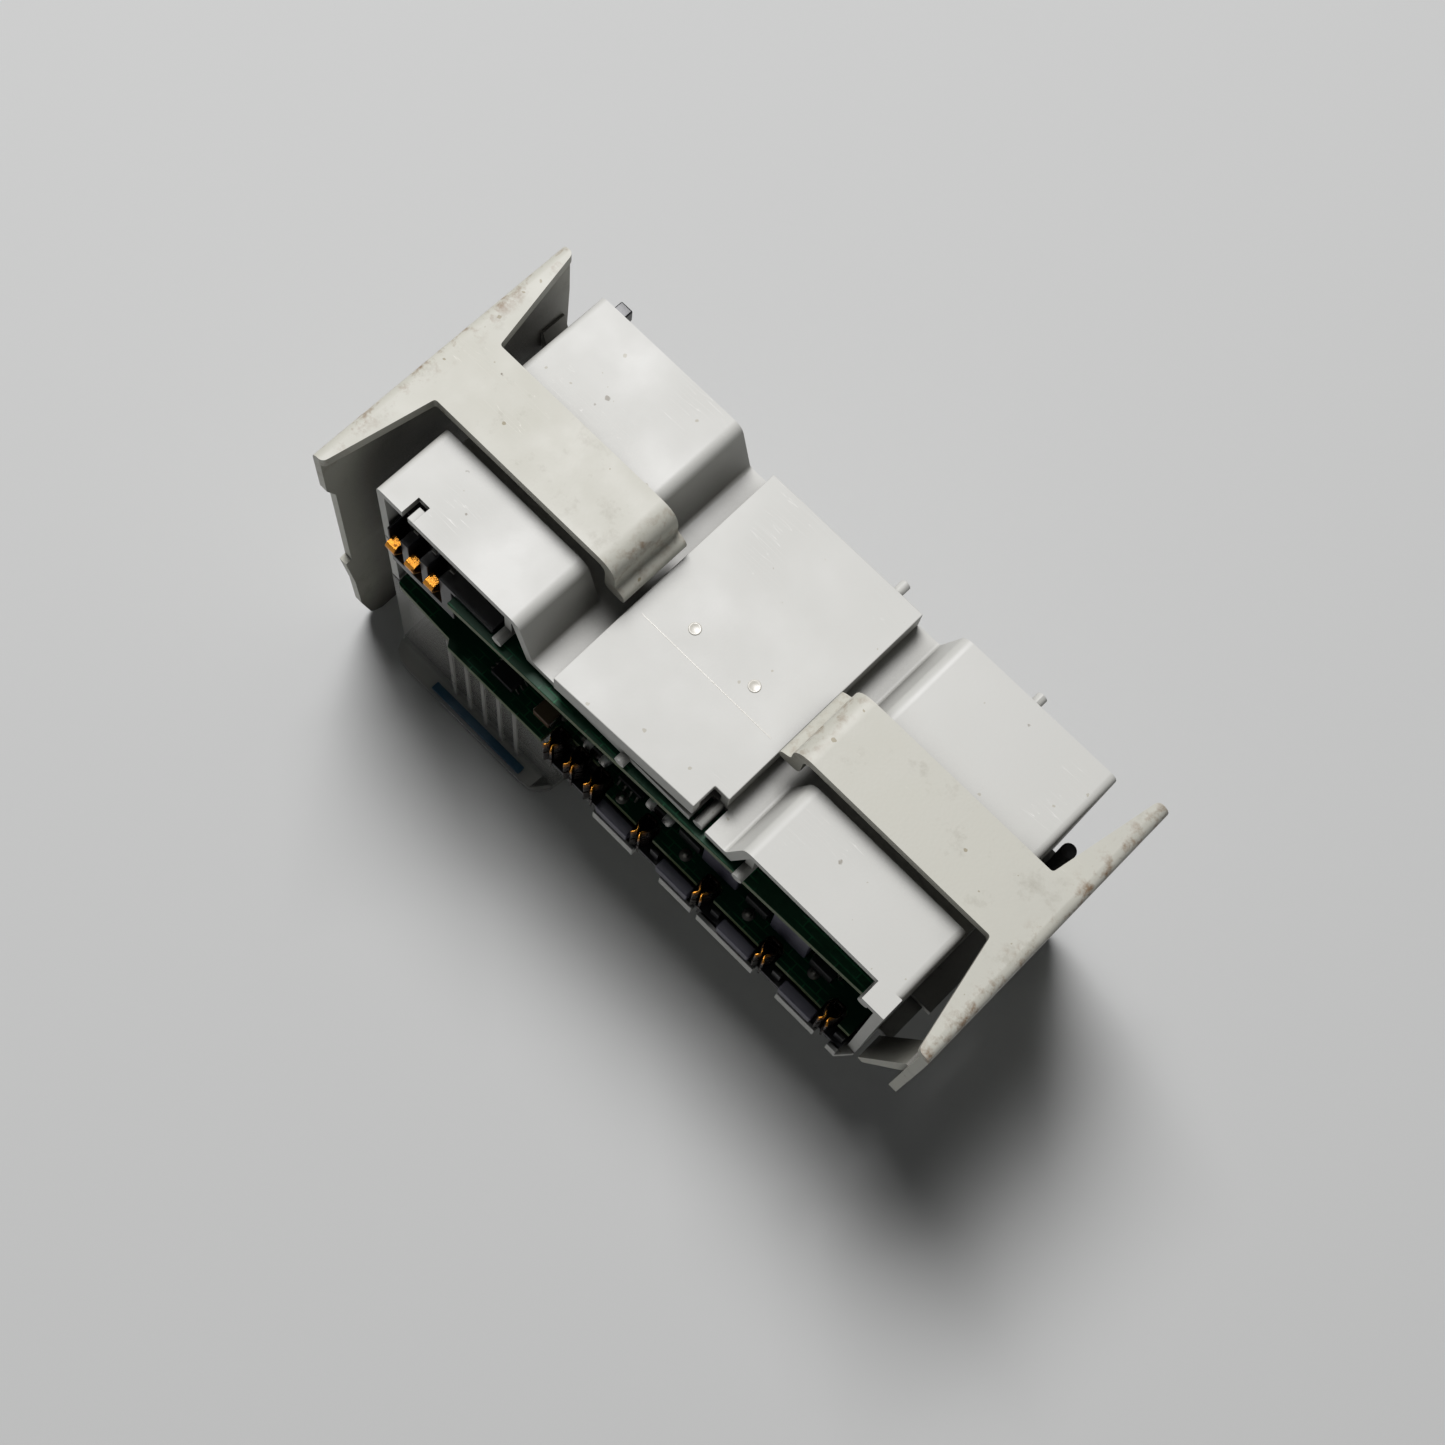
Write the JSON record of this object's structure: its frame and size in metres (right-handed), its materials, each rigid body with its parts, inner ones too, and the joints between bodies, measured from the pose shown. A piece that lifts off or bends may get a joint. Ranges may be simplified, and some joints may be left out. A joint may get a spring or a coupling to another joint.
{
  "type": "residual current device",
  "caption": "Rail-mounted residual current monitoring module: open electronics base with two sliding rail latches, stacked boards, side contacts and a clear front cover.",
  "frame": {"origin": "centre of the outer box at its base, on the plane that the front face stands on", "axes": "+Z from the front face up to the rail side, +X from one rail latch to the other across the rail, +Y along the rail from the open side to the contact blades"},
  "size_m": [0.1198, 0.051, 0.0678],
  "materials": {
    "cover_plastic": "moulded light grey, fine satin",
    "latch_plastic": "moulded grey-beige, slightly aged",
    "clear_plastic": "clear moulded polycarbonate",
    "marking_blue": "plain blue strip",
    "circuit_board": "dark green solder mask",
    "gold_contact": "gold plated spring bronze",
    "tin_contact": "tin plated",
    "black_plastic": "black moulded",
    "dark_grey_plastic": "dark grey moulded",
    "copper_winding": "enamelled copper wire",
    "ferrite": "dark grey sintered ferrite",
    "capacitor_can": "sleeved can",
    "tantalum_case": "brown moulded",
    "resistor_glaze": "dark glaze",
    "led_lens": "clear epoxy",
    "button_plastic": "moulded light grey"
  },
  "bodies": {
    "housing": {"rail_side_cover": "cover_plastic", "rail_pad": "cover_plastic", "front_housing": "cover_plastic", "clear_front_cover": "clear_plastic", "light_guide": "clear_plastic", "blue_marking_strip": "marking_blue", "upper_board": "circuit_board", "lower_board": "circuit_board", "fork_contact_1": "gold_contact", "fork_contact_2": "gold_contact", "fork_contact_3": "gold_contact", "fork_contact_4": "gold_contact", "fork_contact_5": "gold_contact", "fork_contact_6": "gold_contact", "fork_contact_7": "gold_contact", "blade_contact_1": "tin_contact", "blade_contact_2": "tin_contact", "blade_contact_3": "tin_contact", "blade_contact_4": "tin_contact", "blade_contact_5": "tin_contact", "blade_contact_6": "tin_contact", "blade_contact_7": "tin_contact", "bus_contact_carrier": "black_plastic", "contact_carrier": "black_plastic", "bus_key_peg": "black_plastic", "interface_chip_1": "black_plastic", "interface_chip_2": "black_plastic", "microcontroller": "black_plastic", "optocoupler_1": "black_plastic", "optocoupler_2": "black_plastic", "optocoupler_3": "black_plastic", "board_link_header": "black_plastic", "summation_transformer_core": "black_plastic", "terminal_header_1": "black_plastic", "terminal_header_2": "black_plastic", "terminal_header_3": "black_plastic", "terminal_header_4": "black_plastic", "test_switch": "black_plastic", "contact_housing_1": "dark_grey_plastic", "contact_housing_2": "dark_grey_plastic", "contact_housing_3": "dark_grey_plastic", "contact_housing_4": "dark_grey_plastic", "relay_1": "dark_grey_plastic", "relay_2": "dark_grey_plastic", "summation_transformer_winding": "copper_winding", "supply_transformer_winding": "copper_winding", "supply_transformer_core": "ferrite", "electrolytic_capacitor_1": "capacitor_can", "electrolytic_capacitor_2": "capacitor_can", "tantalum_capacitor": "tantalum_case", "melf_resistor_1": "resistor_glaze", "melf_resistor_2": "resistor_glaze", "status_led_1": "led_lens", "status_led_2": "led_lens"},
    "left_latch": {"left_rail_latch": "latch_plastic"},
    "right_latch": {"right_rail_latch": "latch_plastic"},
    "test_button": {"test_button": "button_plastic"},
    "bus_spring_1": {"bus_contact_1": "gold_contact"},
    "bus_spring_2": {"bus_contact_2": "gold_contact"},
    "bus_spring_3": {"bus_contact_3": "gold_contact"}
  },
  "joints": [
    {"name": "left_latch_slide", "type": "slide", "parent": "housing", "child": "left_latch", "axis": [-1, 0, 0], "range_m": [0, 0.0035], "stiffness_N_per_m": 1500, "springref_m": -0.001},
    {"name": "right_latch_slide", "type": "slide", "parent": "housing", "child": "right_latch", "axis": [1, 0, 0], "range_m": [0, 0.0035], "stiffness_N_per_m": 1500, "springref_m": -0.001},
    {"name": "test_button_press", "type": "slide", "parent": "housing", "child": "test_button", "axis": [0, 0, 1], "range_m": [0, 0.0012], "stiffness_N_per_m": 600, "springref_m": -0.0005},
    {"name": "bus_contact_1_press", "type": "slide", "parent": "housing", "child": "bus_spring_1", "axis": [0, 1, 0], "range_m": [0, 0.0008], "stiffness_N_per_m": 400, "springref_m": -0.0003},
    {"name": "bus_contact_2_press", "type": "slide", "parent": "housing", "child": "bus_spring_2", "axis": [0, 1, 0], "range_m": [0, 0.0008], "stiffness_N_per_m": 400, "springref_m": -0.0003},
    {"name": "bus_contact_3_press", "type": "slide", "parent": "housing", "child": "bus_spring_3", "axis": [0, 1, 0], "range_m": [0, 0.0008], "stiffness_N_per_m": 400, "springref_m": -0.0003}
  ]
}
